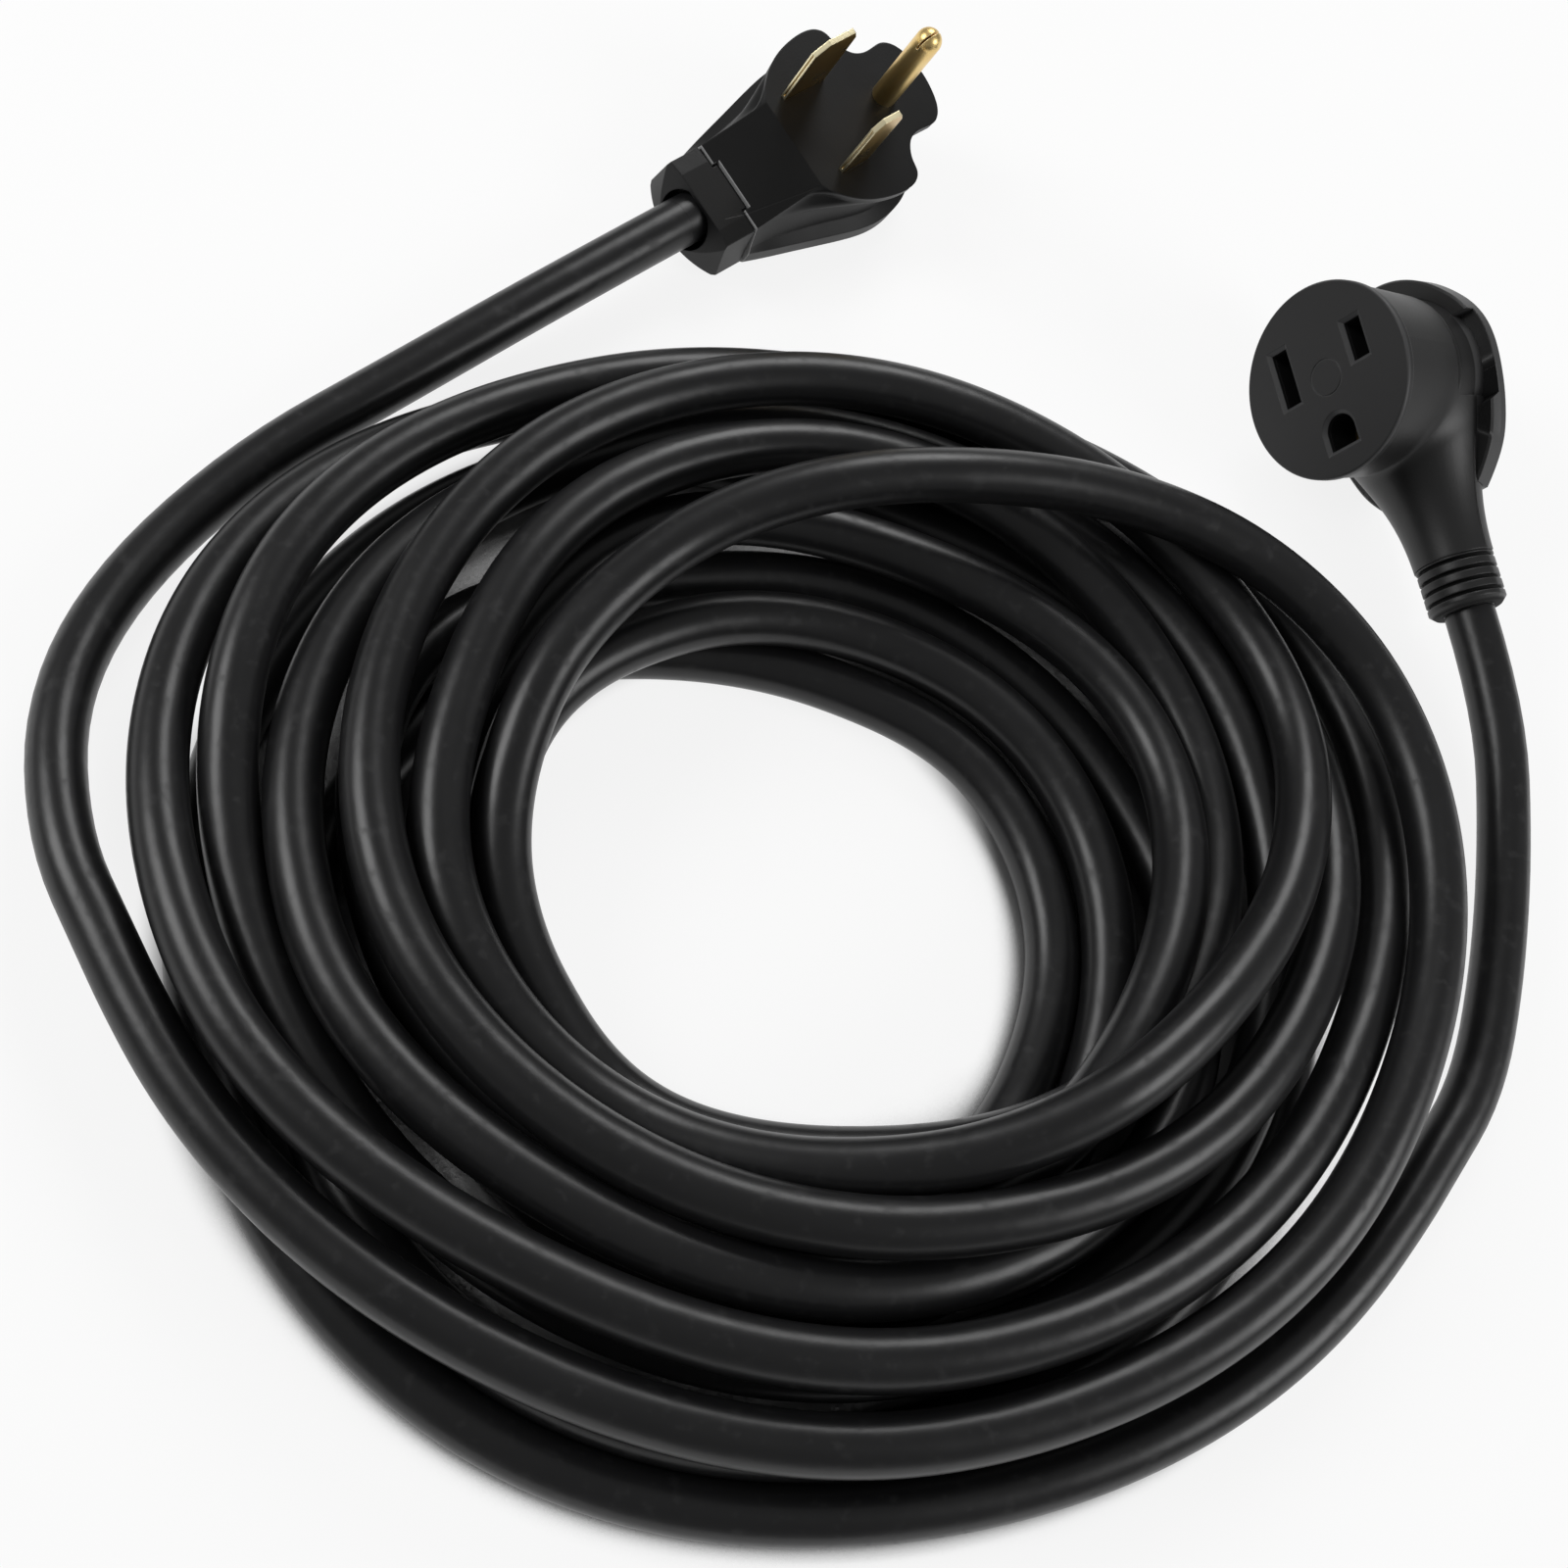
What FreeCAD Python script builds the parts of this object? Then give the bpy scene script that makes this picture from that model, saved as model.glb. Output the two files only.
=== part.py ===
"""Shore power cord: right-angle plug, right-angle connector and a loose coil of cord.

Lengths are in mm. Z is up and the floor is Z = 0. The coil is worked out about its own
centre; at the end everything moves so that the origin is under the middle of the plug
and the connector taken together.
"""
import FreeCAD, Part
import math, os

V = FreeCAD.Vector
os.makedirs("parts", exist_ok=True)

# Cord
CORD_D = 15.0                # jacket of a 10 AWG three-conductor cord
WIRE_D = 4.6                 # one insulated conductor
COPPER_D = 3.0               # its bare end
BARREL_R = 2.7               # crimp barrel round that end

# Plug, in its own frame: x from the cord towards the ground pin, y across, z out of the face
BLADE_SPACING = 27.4
BLADE_T = 1.7
WIDE_BLADE = 16.3
NARROW_BLADE = 11.0
BLADE_OUT = 28.4             # length outside the face
BLADE_CHAMFER = 4.0          # height of the cut corners
PIN_X = 23.5                 # ground pin from the line of the blades
PIN_D = 8.0
PIN_OUT = 35.6
SHANK_D = 5.0                # the pin's thinner end inside the plug
FACE_EDGE = -14.0            # straight edge of the face on the cord side
RAMP_END = -36.0             # where the slope from that edge meets the collar
RAMP_DROP = 9.0
PLUG_DEPTH = 27.6            # face to back
COLLAR_TOP_END = -47.2       # end of the collar at its top and at its bottom
COLLAR_END = -52.2
COLLAR_HALF = 15.0           # half width at the top
COLLAR_FLARE = 2.3           # wider by this at the bottom
COLLAR_ROUND = 29.0          # radius of its end, seen from the face
TAB_HALF, TAB_LONG = 8.3, 1.8    # the collar's tab in the end of the plug's body
HOLLOW_R, HOLLOW_DEEP = 9.2, 4.0    # hollow that the cord comes out of
CORD_Z = -18.2               # axis of the cord below the face
INSERT_X = (-9.0, 12.0, 30.0)    # contact block: wide to the second x, narrow to the third
INSERT_HALF = (18.5, 8.0)
INSERT_Z = (-17.0, -4.0)

# Connector, in its own frame: x across the slots, y away from the ground slot, z out of the face
FACE_R = 29.4
FACE_T = 2.4                 # hard face in front of the moulding
CORE_R = 23.0
CORE_DEPTH = 31.0            # face to the back of the plate that closes the slots
BACK_PLATE = 2.0
SLOT_T = 5.5
LONG_SLOT = 17.4
SHORT_SLOT = 12.0
SLOT_Y = 7.0
GROUND_X = -0.4
GROUND_Y = -15.9             # centre of the arch of the U-shaped slot
GROUND_SLOT = 10.0
BEVEL, BEVEL_DEEP = 1.2, 1.0
CONTACT_TOP = -14.0
CONTACT_T = 0.9
BELL_R = (28.8, 27.3, 26.5)      # behind the face, at the crease and at the back
CREASE_Z = -28.0
BEHIND_CORE = 9.0            # room for the barrels behind the core
FLANGE_T = 4.5
RIM_T = 3.5                  # how far the flange's rim stands in front of it
NOTCH_Y = (-15.0, 12.0)      # finger notch in that rim, on both sides
CORD_UP = 4.5                # axis of the cord in front of the flange
NECK_END = -58.0
RELIEF_LONG = 15.5
RIB_R = 11.6
JACKET_IN = -37.0            # end of the jacket inside the connector

# Where they lie: point midway between the blades on the face, heading of +x, roll about it
PLUG_AT = V(-81.6, 187.8, 33.6)
PLUG_HEADING = 65.9
PLUG_ROLL = 14.4
# centre of the connector's face, direction out of it, and across its slots
CONN_AT = V(85.8, 181.2, 43.8)
CONN_OUT = V(-0.675, -0.654, 0.342)
CONN_ACROSS = V(0.358, 0.115, 0.927)


# Small helpers

def box(x0, x1, y0, y1, z0, z1):
    return Part.makeBox(x1 - x0, y1 - y0, z1 - z0, V(x0, y0, z0))


def cyl(r, a, b):
    a, b = V(*a), V(*b)
    return Part.makeCylinder(r, (b - a).Length, a, b - a)


def polygon(points):
    return Part.makePolygon([V(*p) for p in points] + [V(*points[0])])


def prism(points, along):
    return Part.Face(polygon(points)).extrude(V(*along))


def fuse(first, *rest):
    s = first
    for r in rest:
        s = s.fuse(r)
    return s.removeSplitter()


def cut(s, *tools):
    for t in tools:
        s = s.cut(t)
    return s


def section(half, z):
    """Closed wire at height z: a smooth curve round the mirrored half profile and the straight edge."""
    up = [V(x, y, z) for x, y in half]
    down = [V(x, -y, z) for x, y in reversed(half) if y > 0]
    curve = Part.BSplineCurve()
    curve.interpolate(up + down)
    return Part.Wire([curve.toShape(), Part.makeLine(down[-1], up[0])])


def loft(profiles):
    return Part.makeLoft([section(h, z) for h, z in profiles], True, True)


def frame(at, x, z):
    """Placement whose own x and z run along the given directions."""
    z = V(z).normalize()
    x = (V(x) - z * z.dot(V(x))).normalize()
    y = z.cross(x)
    return FreeCAD.Placement(FreeCAD.Matrix(x.x, y.x, z.x, at.x, x.y, y.y, z.y, at.y,
                                            x.z, y.z, z.z, at.z, 0, 0, 0, 1))


# Plug

SLOPE = (FACE_EDGE - RAMP_END) / RAMP_DROP
PLUG_FACE = [(FACE_EDGE, 14.8), (-11.0, 19.2), (-6.8, 23.0), (-1.0, 26.2), (6.0, 28.1), (12.0, 28.5), (15.6, 27.6),
             (18.0, 25.2), (18.8, 22.0), (20.6, 18.0), (22.8, 15.7), (25.6, 14.6), (29.5, 14.6), (33.4, 14.7),
             (36.4, 12.9), (38.6, 9.2), (39.7, 5.0), (40.2, 0.0)]
PLUG_LIP = [(FACE_EDGE - SLOPE * 3.0, 14.9)] + [(x, y - 0.2) for x, y in PLUG_FACE[1:-1]] + [(40.0, 0.0)]
PLUG_WAIST = [(RAMP_END, 14.9), (-26.0, 15.6), (-16.0, 18.2), (-7.0, 20.8), (1.0, 23.2), (7.0, 24.4), (11.6, 24.2),
              (14.8, 22.0), (16.4, 19.2), (18.6, 16.2), (21.2, 14.2), (24.4, 13.2), (28.4, 13.0), (31.6, 12.2),
              (34.0, 10.2), (35.8, 7.0), (36.7, 3.6), (37.0, 0.0)]
PLUG_LEDGE = [(RAMP_END, 17.0), (-27.0, 17.6), (-17.0, 19.4), (-8.0, 21.4), (0.0, 23.4), (6.0, 24.4), (11.0, 24.4),
              (15.0, 23.2), (18.4, 21.2), (21.4, 18.8), (24.2, 16.8), (27.0, 15.0), (29.6, 13.0), (32.0, 10.6),
              (34.0, 7.8), (35.3, 5.0), (36.1, 2.4), (36.4, 0.0)]
PLUG_BACK = [(RAMP_END, 17.8), (-27.0, 20.4), (-17.0, 23.0), (-8.0, 25.4), (0.0, 27.4), (7.0, 28.6), (13.0, 28.6),
             (18.4, 27.6), (22.8, 26.0), (26.6, 23.6), (29.8, 20.6), (32.4, 17.0), (34.4, 13.2), (35.9, 9.6),
             (36.9, 6.4), (37.6, 3.8), (38.0, 1.8), (38.1, 0.0)]
plug_outer = loft([(PLUG_FACE, 0.0), (PLUG_LIP, -3.0), (PLUG_WAIST, -RAMP_DROP), (PLUG_LEDGE, -PLUG_DEPTH + 9.4),
                   (PLUG_BACK, -PLUG_DEPTH + 7.0), (PLUG_BACK, -PLUG_DEPTH + 1.2),
                   ([(x * 0.97, y * 0.96) if x > RAMP_END else (x, y - 0.9) for x, y in PLUG_BACK], -PLUG_DEPTH)])

half = BLADE_SPACING / 2.0
TAIL_Z, FOOT_Z = -12.0, -13.0
BARREL = (INSERT_X[0] - 8.5, INSERT_X[0])


def blade(width, y, near):
    """Folded flat blade; its corner on the cord's side is cut wider than the other."""
    t, c = BLADE_T / 2.0, BLADE_CHAMFER
    w = width / 2.0
    flat = prism([(-w, y - t, FOOT_Z), (w, y - t, FOOT_Z), (w, y - t, BLADE_OUT - c), (w - c * 0.55, y - t, BLADE_OUT),
                  (-w + near, y - t, BLADE_OUT), (-w, y - t, BLADE_OUT - c)], (0, BLADE_T, 0))
    # folded sheet: a seam runs down both narrow edges
    for s in (-1, 1):
        seam = prism([(s * w, y - 0.25, 1.0), (s * w, y + 0.25, 1.0), (s * (w - 0.5), y, 1.0)],
                     (0, 0, BLADE_OUT - c - 1.0))
        flat = flat.cut(seam)
    neck = box(BARREL[1], -w + 1.0, y - t, y + t, TAIL_Z - 1.0, TAIL_Z + 1.0)
    barrel = cyl(BARREL_R, (BARREL[0], y, TAIL_Z), (BARREL[1], y, TAIL_Z))
    whole = fuse(flat, neck, barrel)
    return whole.cut(cyl(COPPER_D / 2.0, (BARREL[0], y, TAIL_Z), (BARREL[1] - 1.0, y, TAIL_Z)))


wide_blade = blade(WIDE_BLADE, half, 4.4)
narrow_blade = blade(NARROW_BLADE, -half, 2.4)

# the pin is full size only outside the face; inside, a thinner shank stands on a strap
r = PIN_D / 2.0
pin = fuse(cyl(r, (PIN_X, 0, 0), (PIN_X, 0, PIN_OUT - r)), Part.makeSphere(r, V(PIN_X, 0, PIN_OUT - r)),
           cyl(SHANK_D / 2.0, (PIN_X, 0, FOOT_Z), (PIN_X, 0, 1.0)))
pin = pin.cut(box(PIN_X - r, PIN_X + r, -0.3, 0.3, PIN_OUT - r - 1.5, PIN_OUT + 1.0))
strap = box(BARREL[1], PIN_X, -2.0, 2.0, FOOT_Z, FOOT_Z + 2.0)
ground_barrel = cyl(BARREL_R, (BARREL[0], 0, TAIL_Z), (BARREL[1], 0, TAIL_Z))
ground_pin = fuse(pin, strap, ground_barrel)
ground_pin = ground_pin.cut(cyl(COPPER_D / 2.0, (BARREL[0], 0, TAIL_Z), (BARREL[1] - 1.0, 0, TAIL_Z)))

block = fuse(box(INSERT_X[0], INSERT_X[1], -INSERT_HALF[0], INSERT_HALF[0], INSERT_Z[0], INSERT_Z[1]),
             box(INSERT_X[1], INSERT_X[2], -INSERT_HALF[1], INSERT_HALF[1], INSERT_Z[0], INSERT_Z[1]))
plug_insert = cut(block, wide_blade, narrow_blade, ground_pin)

# conductors, from the end of the jacket to the bare end in each barrel
JACKET_STOP = RAMP_END + 3.0
w = WIRE_D / 2.0
plug_wires = {}
for name, y, sy, sz in (("plug_line_wire", half, 3.0, -1.7), ("plug_return_wire", -half, -3.0, -1.7),
                        ("plug_ground_wire", 0.0, 0.0, 3.3)):
    start = V(JACKET_STOP, sy, CORD_Z + sz)
    bend = V(BARREL[0] - 2.2, y, TAIL_Z)
    along = (bend - start).normalize()
    s = fuse(Part.makeCylinder(w, (bend - start).Length + 2.0, start - along * 2.0, along),
             Part.makeSphere(w, bend), cyl(w, bend, (BARREL[0], y, TAIL_Z)),
             cyl(COPPER_D / 2.0, (BARREL[0] - 0.5, y, TAIL_Z), (BARREL[1] - 1.0, y, TAIL_Z)))
    plug_wires[name] = s.cut(box(JACKET_STOP - 20, JACKET_STOP, -40, 40, -60, 20))

plug_jacket_end = cyl(CORD_D / 2.0, (COLLAR_END, 0, CORD_Z), (JACKET_STOP, 0, CORD_Z))

top = -RAMP_DROP
tab = box(RAMP_END, RAMP_END + TAB_LONG, -TAB_HALF, TAB_HALF, top - 3.0, top + 3.0)
plug_body = cut(plug_outer, block, tab, wide_blade, narrow_blade, ground_pin, plug_jacket_end, *plug_wires.values())
# the barrels' bores are full of copper, so nothing of the moulding is left in them
for y in (half, -half, 0.0):
    plug_body = plug_body.cut(cyl(BARREL_R, (BARREL[0], y, TAIL_Z), (BARREL[1], y, TAIL_Z)))

# collar: a slightly flared block with a sloping, rounded end, a shallow groove next to the body,
# a tab in the body's end and a hollow round the cord
bottom = -PLUG_DEPTH + 0.3
h0, h1 = COLLAR_HALF, COLLAR_HALF + COLLAR_FLARE
collar = prism([(RAMP_END, -9.8, top), (RAMP_END, 9.8, top), (RAMP_END, h0, top - 0.7), (RAMP_END, h1, bottom + 1.0),
                (RAMP_END, h1 - 1.0, bottom), (RAMP_END, -h1 + 1.0, bottom), (RAMP_END, -h1, bottom + 1.0),
                (RAMP_END, -h0, top - 0.7)], (COLLAR_END - 1.0 - RAMP_END, 0, 0))
collar = collar.common(Part.makeCylinder(COLLAR_ROUND, 60.0, V(COLLAR_END + COLLAR_ROUND, 0, -50.0)))
lean = (COLLAR_TOP_END - COLLAR_END) / (top - bottom)
collar = collar.cut(prism([(COLLAR_TOP_END + 5.0 * lean, -40.0, top + 5.0),
                           (COLLAR_END - 5.0 * lean, -40.0, bottom - 5.0),
                           (COLLAR_END - 20.0, -40.0, bottom - 5.0),
                           (COLLAR_END - 20.0, -40.0, top + 5.0)], (0, 80.0, 0)))
inner = box(RAMP_END - 0.8, RAMP_END, -h0 + 0.7, h0 - 0.7, bottom + 0.7, top - 0.7)
groove = cut(box(RAMP_END - 0.8, RAMP_END, -30.0, 30.0, bottom - 1.0, top + 1.0), inner,
             box(RAMP_END - 0.8, RAMP_END, -TAB_HALF + 0.8, TAB_HALF - 0.8, top - 3.0, top + 1.0))
tab_groove = cut(box(RAMP_END - 0.8, RAMP_END + TAB_LONG, -TAB_HALF, TAB_HALF, top - 0.7, top + 1.0),
                 box(RAMP_END - 0.8, RAMP_END + TAB_LONG - 0.8, -TAB_HALF + 0.8, TAB_HALF - 0.8, top - 3.0, top + 1.0))
hollow = cyl(HOLLOW_R, (COLLAR_END - 1.0, 0, CORD_Z), (COLLAR_TOP_END + HOLLOW_DEEP - 1.0, 0, CORD_Z))
hollow = hollow.common(box(COLLAR_END - 2.0, RAMP_END, -20.0, 20.0, bottom + 1.4, top - 1.2))
tab = tab.common(box(RAMP_END, 0.0, -20.0, 20.0, -40.0, top))
plug_collar = cut(fuse(cut(collar, groove), tab), tab_groove, hollow, plug_jacket_end)


# Connector

SLOTS = (("long_contact", LONG_SLOT, -half), ("short_contact", SHORT_SLOT, half))
slot_end = -CORE_DEPTH + BACK_PLATE
back = -CORE_DEPTH - BEHIND_CORE
NECK_Z = back + CORD_UP
RELIEF_END = NECK_END - RELIEF_LONG
g = GROUND_SLOT / 2.0


def rectangle(x, length, grow, z):
    a, b = SLOT_T / 2 + grow, length / 2 + grow
    return polygon([(x - a, SLOT_Y - b, z), (x + a, SLOT_Y - b, z), (x + a, SLOT_Y + b, z), (x - a, SLOT_Y + b, z)])


def arch(grow, z):
    """Outline of the ground slot: half a circle above, square below."""
    e = g + grow
    a, b, c = V(GROUND_X + e, GROUND_Y, z), V(GROUND_X, GROUND_Y + e, z), V(GROUND_X - e, GROUND_Y, z)
    d, f = V(GROUND_X - e, GROUND_Y - e, z), V(GROUND_X + e, GROUND_Y - e, z)
    return Part.Wire([Part.Arc(a, b, c).toShape(), Part.makeLine(c, d), Part.makeLine(d, f), Part.makeLine(f, a)])


def opening(wire_at):
    """Straight slot with a sloping border at its mouth."""
    straight = Part.Face(wire_at(0.0, slot_end)).extrude(V(0, 0, -slot_end + 1.0))
    return fuse(straight, Part.makeLoft([wire_at(0.0, -BEVEL_DEEP), wire_at(BEVEL, 0.0)], True, True))


openings = [opening(lambda grow, z, x=x, n=n: rectangle(x, n, grow, z)) for _, n, x in SLOTS] + [opening(arch)]

face = Part.makeCylinder(FACE_R, FACE_T, V(0, 0, -FACE_T))
face = face.makeFillet(0.7, [e for e in face.Edges if abs(e.CenterOfMass.z) < 1e-6])
# faint moulded ring near the middle
ring = cut(cyl(5.6, (0.5, 0.8, -0.25), (0.5, 0.8, 0.1)), cyl(5.3, (0.5, 0.8, -0.25), (0.5, 0.8, 0.1)))
connector_face = cut(face, ring, *openings)
core = cut(Part.makeCylinder(CORE_R, CORE_DEPTH - BACK_PLATE - FACE_T, V(0, 0, slot_end)), *openings)
plate = Part.makeCylinder(CORE_R, BACK_PLATE, V(0, 0, -CORE_DEPTH))

# contacts: two leaves along the walls of a slot on a foot, and a barrel behind the plate
contacts = {}
for name, length, x in SLOTS:
    a, inner = SLOT_T / 2, SLOT_T / 2 - CONTACT_T
    y0, y1 = SLOT_Y - length / 2, SLOT_Y + length / 2
    contacts[name] = cut(box(x - a, x + a, y0, y1, slot_end, CONTACT_TOP),
                         box(x - inner, x + inner, y0, y1, slot_end + 2.0, CONTACT_TOP))
contacts["ground_contact"] = cut(cyl(g, (GROUND_X, GROUND_Y, slot_end), (GROUND_X, GROUND_Y, CONTACT_TOP)),
                                 cyl(g - CONTACT_T, (GROUND_X, GROUND_Y, slot_end + 2.0),
                                     (GROUND_X, GROUND_Y, CONTACT_TOP)))
barrel_z = -CORE_DEPTH - 5.5
PLACES = (("long_contact", -half, SLOT_Y), ("short_contact", half, SLOT_Y), ("ground_contact", GROUND_X, GROUND_Y))
for name, x, y in PLACES:
    post = cyl(1.5, (x, y, barrel_z + 1.0), (x, y, slot_end + 1.0))
    barrel = cyl(BARREL_R, (x, y - 4.0, barrel_z), (x, y + 3.0, barrel_z))
    bore = cyl(COPPER_D / 2.0, (x, y - 4.0, barrel_z), (x, y + 2.0, barrel_z))
    contacts[name] = cut(fuse(contacts[name], post, barrel), bore)
    plate = plate.cut(cyl(1.5, (x, y, -CORE_DEPTH - 1.0), (x, y, slot_end + 1.0)))
connector_core = cut(core, *contacts.values())
connector_plate = plate

# outer moulding: a turned bell and a neck that widens into it
bell = Part.Face(polygon([(0, 0, -FACE_T), (FACE_R - 0.5, 0, -FACE_T), (BELL_R[0], 0, -FACE_T - 1.0),
                          (BELL_R[1], 0, CREASE_Z), (BELL_R[2], 0, CREASE_Z - 2.0), (BELL_R[2], 0, back),
                          (0, 0, back)])).revolve(V(0, 0, 0), V(0, 0, 1), 360)
NECK = [(-14.0, 23.6), (-20.0, 21.6), (-26.0, 19.2), (-32.0, 16.8), (-38.0, 14.8), (-45.0, 13.2), (-52.0, 12.3),
        (NECK_END, 12.0)]
curve = Part.BSplineCurve()
curve.interpolate([V(q, y, NECK_Z) for y, q in NECK])
first, last = V(0, NECK[0][0], NECK_Z), V(0, NECK[-1][0], NECK_Z)
side = Part.Wire([curve.toShape(), Part.makeLine(V(NECK[-1][1], last.y, NECK_Z), last), Part.makeLine(last, first),
                  Part.makeLine(first, V(NECK[0][1], first.y, NECK_Z))])
neck = Part.Face(side).revolve(V(0, 0, NECK_Z), V(0, 1, 0), 360)
neck = neck.cut(box(-60, 60, -90, 60, -FACE_T, 40.0)).cut(box(-60, 60, -90, 60, -90, back))
outer = fuse(bell, neck)

conn_jacket_end = cyl(CORD_D / 2.0, (0, RELIEF_END, NECK_Z), (0, JACKET_IN, NECK_Z))
conn_wires = {}
for name, (_, x, y), sx, sz in (("connector_line_wire", PLACES[0], -3.0, -1.7),
                                ("connector_return_wire", PLACES[1], 3.0, -1.7),
                                ("connector_ground_wire", PLACES[2], 0.0, 3.3)):
    start, bend = V(sx, JACKET_IN, NECK_Z + sz), V(x, y - 6.2, barrel_z)
    along = (bend - start).normalize()
    s = fuse(Part.makeCylinder(w, (bend - start).Length + 2.0, start - along * 2.0, along),
             Part.makeSphere(w, bend), cyl(w, bend, (x, y - 4.0, barrel_z)),
             cyl(COPPER_D / 2.0, (x, y - 4.5, barrel_z), (x, y + 2.0, barrel_z)))
    conn_wires[name] = s.cut(box(-40, 40, JACKET_IN - 20.0, JACKET_IN, -90, 20))

connector_body = cut(outer, Part.makeCylinder(CORE_R, CORE_DEPTH - FACE_T, V(0, 0, -CORE_DEPTH)),
                     conn_jacket_end, *(list(contacts.values()) + list(conn_wires.values())))
for _, x, y in PLACES:
    connector_body = connector_body.cut(cyl(BARREL_R, (x, y - 4.0, barrel_z), (x, y + 3.0, barrel_z)))

# flange: a plate at the back whose rim stands forward, but for a notch for a finger on each side
FLANGE = [(33.2, 0.0), (32.2, 7.0), (29.4, 13.4), (25.4, 18.8), (20.6, 23.4), (14.6, 27.6), (7.6, 30.2), (0.0, 30.8),
          (-7.0, 30.1), (-13.8, 28.8), (-20.0, 27.0), (-27.0, 24.0), (-33.0, 19.6), (-39.0, 13.6)]
right = [V(x, y, back) for y, x in reversed(FLANGE)]
left = [V(-x, y, back) for y, x in FLANGE if x > 0]
rim = Part.BSplineCurve()
rim.interpolate(right + left)
outline = Part.Face(Part.Wire([rim.toShape(), Part.makeLine(left[-1], right[0])]))
flange = outline.extrude(V(0, 0, -FLANGE_T))
flange = flange.makeChamfer(1.4, [e for e in flange.Edges if abs(e.CenterOfMass.z - back + FLANGE_T) < 1e-6])
front = outline.extrude(V(0, 0, RIM_T))
front = front.makeChamfer(0.6, [e for e in front.Edges if abs(e.CenterOfMass.z - back - RIM_T) < 1e-6])
front = front.cut(outer)
for s in (-1, 1):
    front = front.cut(prism([(s * 20.0, NOTCH_Y[1], back), (s * 20.0, NOTCH_Y[1], back + 9.0),
                             (s * 20.0, NOTCH_Y[0] - 4.6, back + 9.0), (s * 20.0, NOTCH_Y[0] - 2.0, back + RIM_T),
                             (s * 20.0, NOTCH_Y[0], back)], (s * 30.0, 0, 0)))
connector_flange = fuse(flange, front)

# sleeve of the bend relief: rings with grooves between them
sleeve = cyl(RIB_R, (0, NECK_END, NECK_Z), (0, RELIEF_END, NECK_Z))
sleeve = sleeve.makeChamfer(1.6, [e for e in sleeve.Edges if abs(e.CenterOfMass.y - RELIEF_END) < 1e-6])
step = (NECK_END - RELIEF_END) / 4.4
for k in range(4):
    y = NECK_END - 0.7 - k * step
    sleeve = sleeve.cut(cut(cyl(RIB_R + 2.0, (0, y, NECK_Z), (0, y - 1.3, NECK_Z)),
                            cyl(RIB_R - 1.5, (0, y, NECK_Z), (0, y - 1.3, NECK_Z))))
connector_relief = sleeve.cut(conn_jacket_end)


# Cord: one table of the coil, read off by hand every eighth of a turn

CENTRE = (0.0, -30.0)
TILT = 0.515                 # how far a higher strand looks further out on the far side
CLEAR = 2.6                  # least gap asked for between strands
FLOOR_GAP = 0.7
PER = 6                      # worked-out points in an eighth of a turn
START_ANGLE = 225
# a row is a turn, from the plug's end; columns are bearings 0, 45 .. 315; apparent reach and height
TURNS = [
    [None, None, None, None, (188, 13), (158, 23), (142, 30), (154, 30)],
    [(177, 34), (187, 38), (124, 54), (86, 46), (67, 38), (69, 24), (83, 12), (90, 22)],
    [(120, 26), (135, 22), (131, 32), (109, 38), (84, 38), (79, 34), (83, 26), (92, 38)],
    [(119, 44), (159, 30), (152, 38), (130, 38), (105, 38), (89, 40), (84, 42), (99, 44)],
    [(139, 38), (164, 18), (142, 8), (142, 8), (156, 18), (138, 34), (119, 38), (134, 38)],
    [(162, 32), (181, 16), (150, 20), (141, 24), (139, 32), (126, 22), (127, 22), (138, 22)],
    [(148, 20), (149, 22), (137, 16), (122, 22), (121, 26), (113, 32), (101, 38), (116, 34)],
    [(130, 18), (104, 8), (86, 8), (81, 12), (99, 20), (95, 22), (95, 22), (106, 22)],
    [(108, 32), (118, 26), (101, 25), (96, 24), (83, 22), (88, 8), (112, 8), (124, 8)],
    [(103, 20), (89, 18), (71, 19), (64, 22), (66, 22), (74, 8), (97, 8), (108, 8)],
    [(95, 8), (74, 8), (55, 8), (60, 8), (90, 8), (126, 8), (152, 14), (159, 12)],
    [(159, 8), (142, 8), (116, 8), (124, 8), (134, 8), (147, 8), (162, 8), (173, 8)],
    [(199, 8), None, None, None, None, None, None, None],
]


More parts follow.
